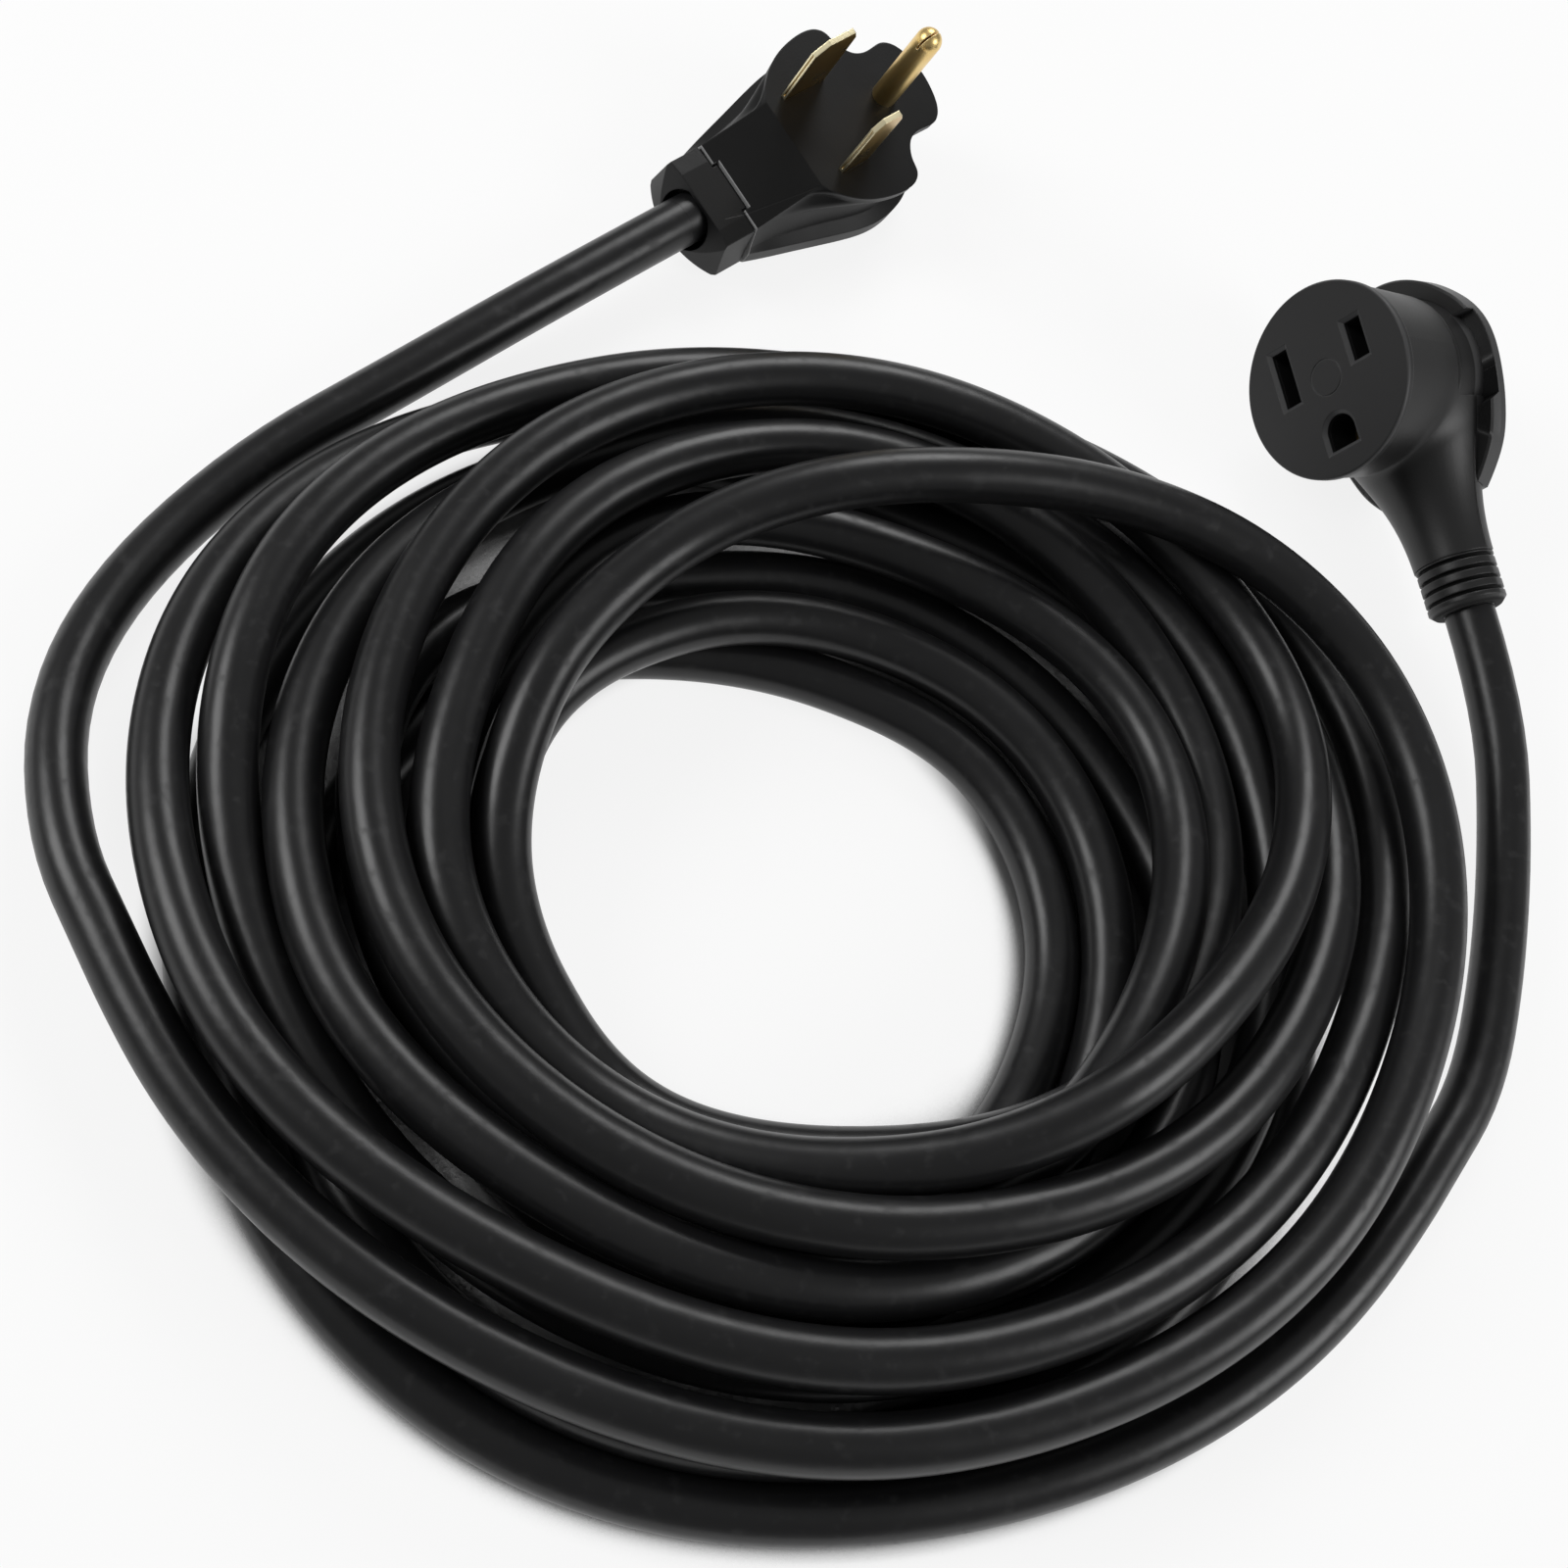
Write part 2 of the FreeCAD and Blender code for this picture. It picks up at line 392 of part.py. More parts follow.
def coil_points():
    """Points round the coil: smooth through the table, then pushed clear of each other."""
    kn = []
    for t, row in enumerate(TURNS):
        for k, v in enumerate(row):
            if v is not None:
                a = 360 * t + 45 * k
                kn.append((a, v[0] - TILT * (v[1] - 20) * math.sin(math.radians(a)), float(v[1])))
    n = len(kn)
    slope = []
    for i in range(n):
        a, b = kn[max(i - 1, 0)], kn[min(i + 1, n - 1)]
        h = (b[0] - a[0]) / 45.0
        slope.append(((b[1] - a[1]) / h, (b[2] - a[2]) / h))
    pts = []
    for i in range(n - 1):
        for s in range(PER):
            u = s / PER
            q = [(2 * u**3 - 3 * u * u + 1) * kn[i][c] + (u**3 - 2 * u * u + u) * slope[i][c - 1]
                 + (3 * u * u - 2 * u**3) * kn[i + 1][c] + (u**3 - u * u) * slope[i + 1][c - 1] for c in (1, 2)]
            pts.append([kn[i][0] + 45 * u, q[0], q[1]])
    pts.append(list(kn[-1]))
    pts = [p for p in pts if p[0] >= START_ANGLE]
    n = len(pts)
    groups = {}
    for i, p in enumerate(pts):
        groups.setdefault(round(p[0] % 360, 2), []).append(i)
    start = [(p[1], p[2]) for p in pts]
    rounds, need = 600, CORD_D + CLEAR
    lean = [1.0] * n
    for it in range(rounds):
        w = 0.25 * max(0.0, 1 - 1.3 * it / rounds)
        dr = [p[1] - o[0] for p, o in zip(pts, start)]
        dz = [p[2] - o[1] for p, o in zip(pts, start)]
        for i in range(2, n - 2):
            pts[i][1] += w * ((dr[i - 1] + dr[i + 1]) / 2 - dr[i])
            pts[i][2] += w * ((dz[i - 1] + dz[i + 1]) / 2 - dz[i])
        for i in range(n):
            a, b = pts[max(i - 1, 0)], pts[min(i + 1, n - 1)]
            s = (b[1] - a[1]) / max(1.0, math.radians(b[0] - a[0]) * pts[i][1])
            lean[i] = math.sqrt(1 + s * s)
        for grp in groups.values():
            for x in range(len(grp)):
                for y in range(x):
                    i, j = grp[x], grp[y]
                    k = max(lean[i], lean[j])
                    er, ez = (pts[i][1] - pts[j][1]) / k, pts[i][2] - pts[j][2]
                    dist = math.hypot(er, ez)
                    if dist < need:
                        if dist < 1e-6:
                            er, ez, dist = 0.0, 1.0, 1.0
                        push = 0.45 * (need - dist)
                        if 1 < i < n - 2:
                            pts[i][1] += push * er / dist * k
                            pts[i][2] += push * ez / dist
                        if 1 < j < n - 2:
                            pts[j][1] -= push * er / dist * k
                            pts[j][2] -= push * ez / dist
        for p in pts:
            p[2] = max(p[2], CORD_D / 2 + FLOOR_GAP)
    return [V(CENTRE[0] + p[1] * math.cos(math.radians(p[0])), CENTRE[1] + p[1] * math.sin(math.radians(p[0])), p[2])
            for p in pts]


def arc_edge(p, q, m):
    """Arc from p to m whose two tangents meet at q."""
    mid = (p + m) * 0.5
    chord, rise = m - p, q - mid
    if rise.Length < 1e-3:
        return Part.makeLine(p, m), None
    tan_a = rise.Length / (chord.Length / 2)
    a = math.atan(tan_a)
    via = mid + V(rise).normalize() * (chord.Length / 2 * math.tan(a / 2))
    return Part.Arc(p, via, m).toShape(), chord.Length / 2 / math.sin(a)


def biarc(p0, t0, p1, t1):
    v, t = p1 - p0, t0 + t1
    k = 2 * (1 - t0.dot(t1))
    vt, vv = v.dot(t), v.dot(v)
    d = vv / (2 * vt) if k < 1e-9 else (-vt + math.sqrt(vt * vt + k * vv)) / k
    q0, q1 = p0 + t0 * d, p1 - t1 * d
    m = (q0 + q1) * 0.5
    return [arc_edge(p0, q0, m), arc_edge(m, q1, p1)]


def sweep(edges, at, along):
    ring = Part.Wire(Part.makeCircle(CORD_D / 2, at, along))
    shell = Part.BRepOffsetAPI.MakePipeShell(Part.Wire(edges))
    shell.add(ring)
    shell.build()
    shell.makeSolid()
    return shell.shape()


def least_gap(points, skip):
    """Least gap between strands, on points, leaving out near neighbours along the cord."""
    best, cells, size, where = 1e9, {}, 30.0, None
    for i, p in enumerate(points):
        cells.setdefault((int(p.x // size), int(p.y // size), int(p.z // size)), []).append(i)
    for (cx, cy, cz), own in cells.items():
        near = [j for ax in (-1, 0, 1) for ay in (-1, 0, 1) for az in (-1, 0, 1)
                for j in cells.get((cx + ax, cy + ay, cz + az), ())]
        for i in own:
            for j in near:
                if j > i + skip and (points[i] - points[j]).Length < best:
                    best, where = (points[i] - points[j]).Length, (points[i], points[j])
    return best - CORD_D, where


path = coil_points()
n = len(path) - 1
tangent = [(path[min(i + 1, n)] - path[max(i - 1, 0)]).normalize() for i in range(n + 1)]
tangent[0] = ((path[1] - path[0]) * 1.5 - (path[2] - path[1]) * 0.5).normalize()
tangent[n] = ((path[n] - path[n - 1]) * 1.5 - (path[n - 1] - path[n - 2]) * 0.5).normalize()
parts, radii = [], []
# a straight run of one cord diameter at each end
first_t, last_t = tangent[0], tangent[n]
coil_in = path[0]
coil_out = path[n]
parts.append(Part.makeLine(coil_in - first_t * CORD_D, coil_in))
for i in range(0, n, PER):
    for e, rad in biarc(path[i], tangent[i], path[i + PER], tangent[i + PER]):
        parts.append(e)
        if rad:
            radii.append(rad)
parts.append(Part.makeLine(coil_out, coil_out + last_t * CORD_D))
coil_start, coil_end = coil_in - first_t * CORD_D, coil_out + last_t * CORD_D
cord_coil = sweep(parts, coil_start, first_t)
samples, length = [], 0.0
for e in parts:
    length += e.Length
    samples += e.discretize(Distance=2.5)[:-1]
gap, where = least_gap(samples, 40)
print("coil: length %.0f, least radius %.1f, least gap to itself %.2f at %s, least height %.2f" % (
    length, min(radii), gap, where, min(p.z for p in samples)))
print("coil: solid %s %s, volume %.0f of %.0f" % (cord_coil.isValid(), cord_coil.ShapeType, cord_coil.Volume,
                                                  length * math.pi * CORD_D ** 2 / 4))


def lead(name, points):
    """Free stretch: straight runs joined by arcs that touch both runs."""
    runs = [(b - a).Length for a, b in zip(points, points[1:])]
    edges, here, rads = [], points[0], []
    for i in range(1, len(points) - 1):
        a, b, c = points[i - 1], points[i], points[i + 1]
        d0, d1 = (b - a).normalize(), (c - b).normalize()
        turn = math.acos(max(-1.0, min(1.0, d0.dot(d1))))
        back = 0.45 * min(runs[i - 1], runs[i])
        p, m = b - d0 * back, b + d1 * back
        edges.append(Part.makeLine(here, p))
        e, rad = arc_edge(p, b, m)
        edges.append(e)
        rads.append(back / math.tan(turn / 2))
        here = m
    edges.append(Part.makeLine(here, points[-1]))
    s = sweep(edges, points[0], (points[1] - points[0]).normalize())
    long = sum(e.Length for e in edges)
    print("%s: length %.0f, radii %s, valid %s, volume %.0f of %.0f" % (
        name, long, [round(x) for x in rads], s.isValid(), s.Volume, long * math.pi * CORD_D ** 2 / 4))
    return s, long, [q for e in edges for q in e.discretize(Distance=2.5)[:-1]]


# Placing

roll = math.radians(PLUG_ROLL)
head = math.radians(PLUG_HEADING)
plug_x = V(math.cos(head), math.sin(head), 0)
side = V(-math.sin(head), math.cos(head), 0)
plug_z = V(0, 0, 1) * math.cos(roll) - side * math.sin(roll)
plug_place = frame(PLUG_AT, plug_x, plug_z)
conn_place = frame(CONN_AT, CONN_ACROSS, CONN_OUT)

plug_exit = plug_place.multVec(V(COLLAR_END, 0, CORD_Z))
conn_exit = conn_place.multVec(V(0, RELIEF_END, NECK_Z))
conn_dir = conn_place.Rotation.multVec(V(0, -1, 0))

PLUG_LEAD = [(-149.5, 52.0, 10.0), (-170.3, 6.0, 8.4), (-179.3, -44.0, 9.5), (-172.0, -84.0, 14.5)]
plug_points = ([plug_exit, plug_exit - plug_x * 46.0] + [V(*p) for p in PLUG_LEAD]
               + [coil_start - first_t * 30.0, coil_start])
CONN_LEAD = [(193.5, 86.0, 11.0), (203.5, 48.0, 8.8)]
conn_points = ([conn_exit, conn_exit + conn_dir * 32.0] + [V(*p) for p in CONN_LEAD]
               + [coil_end + last_t * 29.0, coil_end])
cord_plug_lead, plug_len, plug_samples = lead("cord_plug_lead", plug_points)
cord_connector_lead, conn_len, conn_samples = lead("cord_connector_lead", conn_points)
print("whole cord %.0f" % (length + plug_len + conn_len))
for name, own in (("plug lead", plug_samples[:-20]), ("connector lead", conn_samples[:-20])):
    near, p, q = min((((p - q).Length, p, q) for p in own[::2] for q in samples[::2]), key=lambda t: t[0])
    print(name, "to coil, least gap %.2f at %s %s" % (near - CORD_D, p, q))
print("exits", plug_exit, conn_exit, conn_dir, "coil ends", coil_start, first_t, coil_end, last_t)

plug_nodes = {"plug_body": plug_body, "plug_collar": plug_collar, "plug_insert": plug_insert,
              "wide_blade": wide_blade, "narrow_blade": narrow_blade, "ground_pin": ground_pin,
              "plug_jacket_end": plug_jacket_end}
plug_nodes.update(plug_wires)
conn_nodes = {"connector_body": connector_body, "connector_face": connector_face,
              "connector_core": connector_core, "connector_plate": connector_plate,
              "connector_flange": connector_flange, "connector_relief": connector_relief,
              "connector_jacket_end": conn_jacket_end}
conn_nodes.update(contacts)
conn_nodes.update(conn_wires)

nodes = {"cord_coil": cord_coil, "cord_plug_lead": cord_plug_lead, "cord_connector_lead": cord_connector_lead}
for group, place in ((plug_nodes, plug_place), (conn_nodes, conn_place)):
    for name, s in group.items():
        s = s.copy()
        s.Placement = place.multiply(s.Placement)
        nodes[name] = s

hard = Part.makeCompound([nodes[k] for k in list(plug_nodes) + list(conn_nodes)])
b = hard.optimalBoundingBox(False) if hasattr(hard, "optimalBoundingBox") else hard.BoundBox
shift = V(-(b.XMin + b.XMax) / 2, -(b.YMin + b.YMax) / 2, -b.ZMin)
print("shift", shift, "extents", b.XLength, b.YLength, b.ZLength)

for name, s in nodes.items():
    s.translate(shift)
    if s.ShapeType != "Solid":
        solids = s.Solids
        if len(solids) != 1:
            print("NOT ONE SOLID", name, s.ShapeType, len(solids), [round(x.Volume, 2) for x in solids])
        s = solids[0] if len(solids) == 1 else s
    bb = s.BoundBox
    print("%-22s %-7s valid %s volume %9.1f zmin %.2f" % (name, s.ShapeType, s.isValid(), s.Volume, bb.ZMin))
    s.exportStep("parts/%s.step" % name)
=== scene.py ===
"""Shore power cord: looks. Metres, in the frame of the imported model."""
import math

import bpy
import numpy as np
from mathutils import Matrix, Vector


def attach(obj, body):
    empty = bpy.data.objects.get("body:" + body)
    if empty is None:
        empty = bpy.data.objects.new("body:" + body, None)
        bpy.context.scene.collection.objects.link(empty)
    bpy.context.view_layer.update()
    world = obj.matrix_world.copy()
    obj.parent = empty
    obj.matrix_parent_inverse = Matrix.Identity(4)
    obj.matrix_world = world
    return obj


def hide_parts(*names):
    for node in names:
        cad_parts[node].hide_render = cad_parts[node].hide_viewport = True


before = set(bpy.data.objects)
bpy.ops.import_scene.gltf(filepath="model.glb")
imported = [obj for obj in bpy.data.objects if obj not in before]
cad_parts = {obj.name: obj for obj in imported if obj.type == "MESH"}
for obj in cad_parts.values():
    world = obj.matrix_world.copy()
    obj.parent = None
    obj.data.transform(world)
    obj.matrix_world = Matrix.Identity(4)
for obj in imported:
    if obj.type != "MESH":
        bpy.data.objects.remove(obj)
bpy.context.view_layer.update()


# Cord
# One length of round three-conductor cord, 15 mm over its black PVC jacket, from the plug round
# the loose coil to the connector. The jacket is extruded, so it is smooth with long faint waves.

CORD_D = 15.0                # mm, as all sizes here; MM makes them metres
MM = 0.001
SHIFT = Vector((-21.5858, -186.6819, -0.0055))      # from the coil's frame to the model's
CENTRE = (0.0, -30.0)        # that the table's reaches are read from
TILT = 0.515                 # how far a higher strand looks further out on the far side
CLEAR = 0.3                  # drawn as touching; the solid keeps its strands further apart
FLOOR_GAP = 0.7              # least height of the jacket over the floor
EIGHTH = 45                  # degrees of bearing between the columns of TURNS
PER = 6                      # worked-out points in an eighth of a turn
START_ANGLE = 225            # bearing at which the coil takes over from the plug's lead
MID_HEIGHT = 20              # height at which a strand's apparent reach is its true one
ROUNDS = 600                 # of pushing strands apart
EVENING, EVENING_ENDS = 0.25, 1.3        # how much a round evens out the change, and how soon that fades
PUSH = 0.45                  # share of an overlap by which each of its two strands gives way
# a row is a turn, from the plug's end; columns are bearings 0, 45 .. 315; apparent reach and height
TURNS = [
    [None, None, None, None, (188, 13), (158, 23), (142, 30), (154, 30)],
    [(177, 34), (187, 38), (124, 54), (86, 46), (67, 38), (69, 24), (83, 12), (90, 22)],
    [(120, 26), (135, 22), (131, 32), (109, 38), (84, 38), (79, 34), (83, 26), (92, 38)],
    [(119, 44), (159, 30), (152, 38), (130, 38), (105, 38), (89, 40), (84, 42), (99, 44)],
    [(139, 38), (164, 18), (142, 8), (142, 8), (156, 18), (138, 34), (119, 38), (134, 38)],
    [(162, 32), (181, 16), (150, 20), (141, 24), (139, 32), (126, 22), (127, 22), (138, 22)],
    [(148, 20), (149, 22), (137, 16), (122, 22), (121, 26), (113, 32), (101, 38), (116, 34)],
    [(130, 18), (104, 8), (86, 8), (81, 12), (99, 20), (95, 22), (95, 22), (106, 22)],
    [(108, 32), (118, 26), (101, 25), (96, 24), (83, 22), (88, 8), (112, 8), (124, 8)],
    [(103, 20), (89, 18), (71, 19), (64, 22), (66, 22), (74, 8), (97, 8), (108, 8)],
    [(95, 8), (74, 8), (55, 8), (60, 8), (90, 8), (126, 8), (152, 14), (159, 12)],
    [(159, 8), (142, 8), (116, 8), (124, 8), (134, 8), (147, 8), (162, 8), (173, 8)],
    [(199, 8), None, None, None, None, None, None, None],
]
PLUG_AT = Vector((-81.6, 187.8, 33.6))   # on the plug's face, between its blades
PLUG_HEADING, PLUG_ROLL = 65.9, 14.4
CONN_AT = Vector((85.8, 181.2, 43.8))    # middle of the connector's face
CONN_OUT = Vector((-0.675, -0.654, 0.342))
CONN_ACROSS = Vector((0.358, 0.115, 0.927))
COLLAR_END, CORD_Z = -52.2, -18.2        # where the cord leaves the plug, in the plug's own x and z
RELIEF_END, NECK_Z = -73.5, -35.5        # and the connector, in its own y and z
PLUG_RUN, CONN_RUN = 46.0, 32.0          # straight out of the collar and out of the sleeve
INTO_COIL, OUT_OF_COIL = 45.0, 44.0      # straight before and after the coil
PLUG_LEAD = [(-149.5, 52.0, 10.0), (-170.3, 6.0, 8.4), (-179.3, -44.0, 9.5), (-172.0, -84.0, 14.5)]
CONN_LEAD = [(193.5, 86.0, 11.0), (203.5, 48.0, 8.8)]


def axes(heading, roll):
    """The plug's own x, y and z: x level along the heading, the rest turned about it by the roll."""
    h, r = math.radians(heading), math.radians(roll)
    x, side = Vector((math.cos(h), math.sin(h), 0.0)), Vector((-math.sin(h), math.cos(h), 0.0))
    z = Vector((0.0, 0.0, math.cos(r))) - side * math.sin(r)
    return x, z.cross(x), z


PLUG_AXES = axes(PLUG_HEADING, PLUG_ROLL)
conn_z = CONN_OUT.normalized()
conn_x = (CONN_ACROSS - conn_z * conn_z.dot(CONN_ACROSS)).normalized()
CONN_AXES = (conn_x, conn_z.cross(conn_x), conn_z)


def place(origin, own, x, y, z):
    return origin + own[0] * x + own[1] * y + own[2] * z


def between_knots(u, value, slope, next_value, next_slope):
    """Cubic from one knot to the next, at a share u of the way."""
    return ((2 * u**3 - 3 * u * u + 1) * value + (u**3 - 2 * u * u + u) * slope
            + (3 * u * u - 2 * u**3) * next_value + (u**3 - u * u) * next_slope)


def turns_from_table():
    """Bearing, reach and height along the coil, smooth through the knots of the table."""
    knots = []
    for turn, row in enumerate(TURNS):
        for column, knot in enumerate(row):
            if knot is not None:
                bearing = 360 * turn + EIGHTH * column
                reach, height = knot
                lean = TILT * (height - MID_HEIGHT) * math.sin(math.radians(bearing))
                knots.append((bearing, reach - lean, float(height)))
    slopes = []
    for i in range(len(knots)):
        before, after = knots[max(i - 1, 0)], knots[min(i + 1, len(knots) - 1)]
        columns = (after[0] - before[0]) / EIGHTH
        slopes.append([(after[c] - before[c]) / columns for c in range(3)])
    pts = []
    for i in range(len(knots) - 1):
        for step in range(PER):
            u = step / PER
            ends = ((knots[i][c], slopes[i][c], knots[i + 1][c], slopes[i + 1][c]) for c in (1, 2))
            pts.append([knots[i][0] + EIGHTH * u, *(between_knots(u, *end) for end in ends)])
    pts.append(list(knots[-1]))
    return [p for p in pts if p[0] >= START_ANGLE]


def settle(pts):
    """Pushes strands of one bearing apart where they overlap, and evens out what that changes."""
    n = len(pts)
    groups = {}
    for i, p in enumerate(pts):
        groups.setdefault(round(p[0] % 360, 2), []).append(i)
    start = [(p[1], p[2]) for p in pts]
    need = CORD_D + CLEAR
    lean = [1.0] * n
    for it in range(ROUNDS):
        w = EVENING * max(0.0, 1 - EVENING_ENDS * it / ROUNDS)
        dr = [p[1] - o[0] for p, o in zip(pts, start)]
        dz = [p[2] - o[1] for p, o in zip(pts, start)]
        for i in range(2, n - 2):
            pts[i][1] += w * ((dr[i - 1] + dr[i + 1]) / 2 - dr[i])
            pts[i][2] += w * ((dz[i - 1] + dz[i + 1]) / 2 - dz[i])
        for i in range(n):
            a, b = pts[max(i - 1, 0)], pts[min(i + 1, n - 1)]
            s = (b[1] - a[1]) / max(1.0, math.radians(b[0] - a[0]) * pts[i][1])
            lean[i] = math.sqrt(1 + s * s)
        for group in groups.values():
            for x in range(len(group)):
                for y in range(x):
                    i, j = group[x], group[y]
                    k = max(lean[i], lean[j])
                    er, ez = (pts[i][1] - pts[j][1]) / k, pts[i][2] - pts[j][2]
                    dist = math.hypot(er, ez)
                    if dist < need:
                        if dist < 1e-6:
                            er, ez, dist = 0.0, 1.0, 1.0
                        push = PUSH * (need - dist)
                        if 1 < i < n - 2:
                            pts[i][1] += push * er / dist * k
                            pts[i][2] += push * ez / dist
                        if 1 < j < n - 2:
                            pts[j][1] -= push * er / dist * k
                            pts[j][2] -= push * ez / dist
        for p in pts:
            p[2] = max(p[2], CORD_D / 2 + FLOOR_GAP)


def coil_points():
    """Points round the coil, in its frame: x = reach * cos bearing, y = reach * sin bearing, z = height."""
    pts = turns_from_table()
    settle(pts)
    coil = []
    for bearing, reach, height in pts:
        a = math.radians(bearing)
        coil.append(Vector((CENTRE[0] + reach * math.cos(a), CENTRE[1] + reach * math.sin(a), height)))
    return coil


class Number:
    """A number that varies over a surface. Sums and products of such numbers add Math nodes."""

    def __init__(self, finish, socket):
        self.finish, self.socket = finish, socket

    def math(self, operation, *others):
        inputs = dict(enumerate((self, *others)))
        node = self.finish.node("ShaderNodeMath", {"operation": operation}, inputs)
        return Number(self.finish, node.outputs[0])

    def __add__(self, other):
        return self.math("ADD", other)

    def __sub__(self, other):
        return self.math("SUBTRACT", other)

    def __rsub__(self, other):
        return self.math("MULTIPLY_ADD", -1.0, other)

    def __mul__(self, other):
        return self.math("MULTIPLY", other)

    def __truediv__(self, other):
        return self.math("DIVIDE", other)

    def __abs__(self):
        return self.math("ABSOLUTE")

    __radd__, __rmul__ = __add__, __mul__

    def hypot(self, other):
        return (self * self + other * other).math("SQRT")

    def between(self, low, high, first=0.0, last=1.0):
        """Smooth step from first, below low, to last, above high."""
        inputs = {"Value": self, "From Min": low, "From Max": high, "To Min": first, "To Max": last}
        node = self.finish.node("ShaderNodeMapRange", {"interpolation_type": "SMOOTHSTEP"}, inputs)
        return Number(self.finish, node.outputs["Result"])


class Finish:
    """One material: its shader, the surface's coordinates and a single way to add any node."""

    def __init__(self, name, colour, **shader):
        self.material = bpy.data.materials.new(name)
        self.material.use_nodes = True
        self.tree = self.material.node_tree
        self.shader = self.tree.nodes["Principled BSDF"]
        self.give(self.shader, {"Base Color": (*colour, 1.0)})
        self.give(self.shader, {key.replace("_", " "): value for key, value in shader.items()})
        self.place = self.node("ShaderNodeTexCoord").outputs["Object"]

    def give(self, node, inputs):
        for key, value in inputs.items():
            value = value.socket if isinstance(value, Number) else value
            if isinstance(value, bpy.types.NodeSocket):
                self.tree.links.new(value, node.inputs[key])
            else:
                node.inputs[key].default_value = value

    def node(self, kind, settings=None, inputs=None):
        node = self.tree.nodes.new(kind)
        for key, value in (settings or {}).items():
            setattr(node, key, value)
        self.give(node, inputs or {})
        return node

    def vector(self, operation, *inputs, **named):
        """A sum, product or other operation on whole vectors."""
        inputs = {**dict(enumerate(inputs)), **named}
        node = self.node("ShaderNodeVectorMath", {"operation": operation}, inputs)
        return node.outputs["Value" if operation == "DOT_PRODUCT" else "Vector"]

    def noise(self, scale, detail=2.0):
        node = self.node("ShaderNodeTexNoise", None, {"Vector": self.place, "Scale": scale, "Detail": detail})
        return Number(self, node.outputs["Fac"])

    def along(self, origin, direction):
        """Distance in mm from a point of the coil's frame, along one direction."""
        metres = Number(self, self.vector("DOT_PRODUCT", self.place, tuple(direction)))
        return metres * (1.0 / MM) - ((origin + SHIFT) * MM).dot(direction) / MM

    def facing(self, direction):
        """How squarely the surface faces a direction, from -1 to 1."""
        normal = self.node("ShaderNodeNewGeometry").outputs["Normal"]
        return Number(self, self.vector("DOT_PRODUCT", normal, tuple(direction)))

    def rounded(self, radius):
        """Normals that turn smoothly round edges, as if these had the radius given in metres."""
        return self.node("ShaderNodeBevel", {"samples": 6}, {"Radius": radius}).outputs["Normal"]

    def mixed_normal(self, mask, first, last):
        return self.node("ShaderNodeMix", {"data_type": "VECTOR"}, {0: mask, 4: first, 5: last}).outputs[1]

    def colour(self, mask, first, last):
        mix = self.node("ShaderNodeMix", {"data_type": "RGBA"}, {0: mask, 6: (*first, 1.0), 7: (*last, 1.0)})
        self.give(self.shader, {"Base Color": mix.outputs[2]})

    def relief(self, height, depth, strength, normal=None):
        """Bump from a height in 0..1, on normals of the surface's own or of another node."""
        inputs = {"Height": height, "Distance": depth, "Strength": strength}
        if normal is not None:
            inputs["Normal"] = normal
        self.give(self.shader, {"Normal": self.node("ShaderNodeBump", None, inputs).outputs["Normal"]})

    def edge_band(self, radius):
        """1 on edges, 0 on faces: how far the rounded normal leans from the true one."""
        true = self.node("ShaderNodeNewGeometry").outputs["Normal"]
        alike = Number(self, self.vector("DOT_PRODUCT", self.rounded(radius), true))
        return alike.between(0.80, 0.995, 1.0, 0.0)


def jacket():
    """Extruded PVC: long shallow waves, a fine drawn grain and patches that are a little duller."""
    black, scuffed = (0.009, 0.009, 0.0095), (0.013, 0.013, 0.0135)
    f = Finish("cord_jacket", black, Specular_IOR_Level=0.45)
    dull = f.noise(38.0, 3.0)
    scuff = f.noise(260.0, 4.0).between(0.55, 0.75)
    f.give(f.shader, {"Roughness": 0.27 + dull * 0.14 + scuff * 0.10})
    f.colour(scuff, black, scuffed)
    f.relief(f.noise(70.0, 2.0) * 0.8 + f.noise(900.0, 3.0) * 0.06, 0.0005, 0.6)
    return f.material


JACKET = jacket()
coil = coil_points()
into = ((coil[1] - coil[0]) * 1.5 - (coil[2] - coil[1]) * 0.5).normalized()
out = ((coil[-1] - coil[-2]) * 1.5 - (coil[-2] - coil[-3]) * 0.5).normalized()
plug_exit = place(PLUG_AT, PLUG_AXES, COLLAR_END, 0.0, CORD_Z)
conn_exit = place(CONN_AT, CONN_AXES, 0.0, RELIEF_END, NECK_Z)
route = ([plug_exit, plug_exit - PLUG_AXES[0] * PLUG_RUN] + [Vector(p) for p in PLUG_LEAD]
         + [coil[0] - into * INTO_COIL, coil[0] - into * CORD_D] + coil
         + [coil[-1] + out * CORD_D, coil[-1] + out * OUT_OF_COIL] + [Vector(p) for p in reversed(CONN_LEAD)]
         + [conn_exit - CONN_AXES[1] * CONN_RUN, conn_exit])
curve = bpy.data.curves.new("cord", "CURVE")
curve.dimensions = "3D"
spline = curve.splines.new("NURBS")
spline.points.add(len(route) - 1)
for p, q in zip(spline.points, route):
    p.co = (*((q + SHIFT) * MM), 1.0)
spline.order_u = 3
spline.use_endpoint_u = True
spline.resolution_u = 6
curve.bevel_depth = CORD_D / 2 * MM
curve.bevel_resolution = 9
curve.use_fill_caps = True
cord = bpy.data.objects.new("cord", curve)
bpy.context.collection.objects.link(cord)
curve.materials.append(JACKET)
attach(cord, "root")
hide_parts("cord_coil", "cord_plug_lead", "cord_connector_lead")
tuple((plug_exit + SHIFT) * MM)


# Camera
# The photograph's own angle, lens and roll, found by fitting the plug, the connector and the cord.

